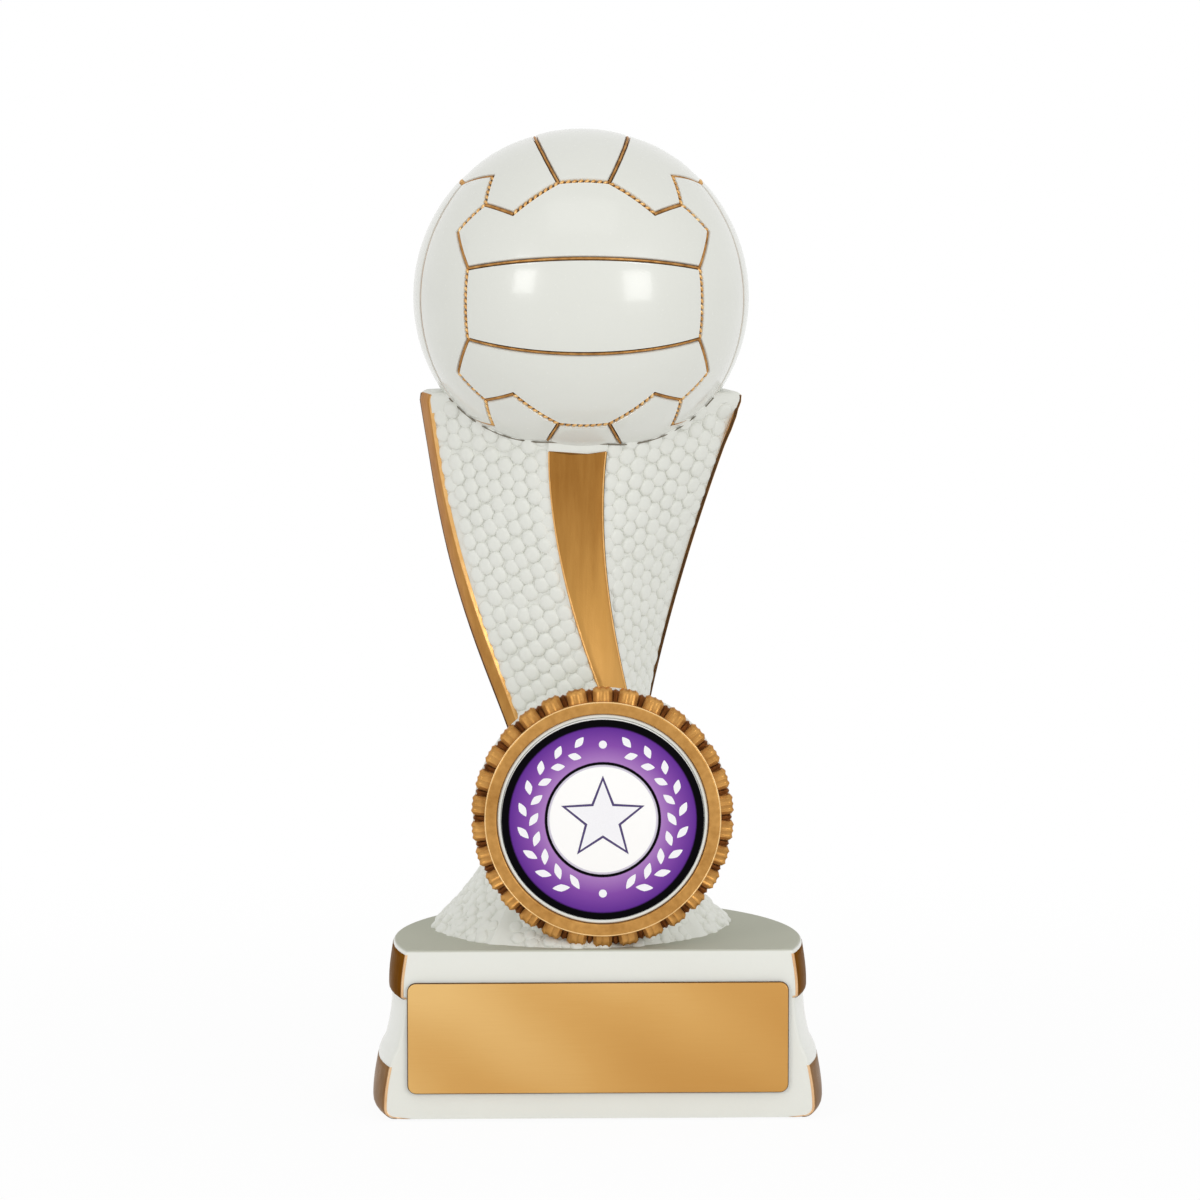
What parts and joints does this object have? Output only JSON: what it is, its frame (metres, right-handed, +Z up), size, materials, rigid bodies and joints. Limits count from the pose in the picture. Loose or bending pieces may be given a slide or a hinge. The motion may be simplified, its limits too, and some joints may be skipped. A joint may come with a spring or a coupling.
{
  "type": "netball trophy",
  "caption": "Small resin sports trophy: a panelled netball on a twisted, flared column with gold ribbons, above a toothed medallion and a D-shaped plinth with a blank name plate.",
  "frame": {"origin": "centre of the object's footprint, on the underside of the felt pad", "axes": "+X to the right seen from the front, +Y to the back, +Z up; the name plate and the medallion face -Y"},
  "size_m": [0.0562, 0.042, 0.1217],
  "materials": {
    "white_resin": "satin white cast resin",
    "ball_gloss": "gloss white lacquer over cast resin",
    "gold_paint": "metallic gold paint over cast resin",
    "seam_gold": "darker gold paint, seen in the ball's seams",
    "gold_plate": "gold anodised, fine satin",
    "printed_insert": "printed disc under a clear gloss film",
    "adhesive_pad": "double-sided adhesive pad",
    "felt": "dense felt",
    "steel": "zinc-plated"
  },
  "bodies": {
    "root": {"plinth": "white_resin", "upper_moulding": "gold_paint", "lower_moulding": "gold_paint", "felt_pad": "felt", "name_plate": "gold_plate", "plate_tape": "adhesive_pad", "column": "white_resin", "ribbon_left": "gold_paint", "ribbon_front": "gold_paint", "ribbon_right": "gold_paint", "ribbon_back": "gold_paint", "medal_boss": "white_resin", "medal_ring": "gold_paint", "insert_disc": "printed_insert", "insert_tape": "adhesive_pad", "check_rod": "steel", "rod_washer": "steel", "rod_nut": "steel", "ball_core": "seam_gold", "panel_front_upper": "ball_gloss", "panel_front_middle": "ball_gloss", "panel_front_lower": "ball_gloss", "panel_back_upper": "ball_gloss", "panel_back_middle": "ball_gloss", "panel_back_lower": "ball_gloss", "panel_top_left": "ball_gloss", "panel_top_middle": "ball_gloss", "panel_top_right": "ball_gloss", "panel_bottom_right": "ball_gloss", "panel_bottom_middle": "ball_gloss", "panel_bottom_left": "ball_gloss", "panel_left_back": "ball_gloss", "panel_left_middle": "ball_gloss", "panel_left_front": "ball_gloss", "panel_right_back": "ball_gloss", "panel_right_middle": "ball_gloss", "panel_right_front": "ball_gloss"}
  },
  "joints": []
}
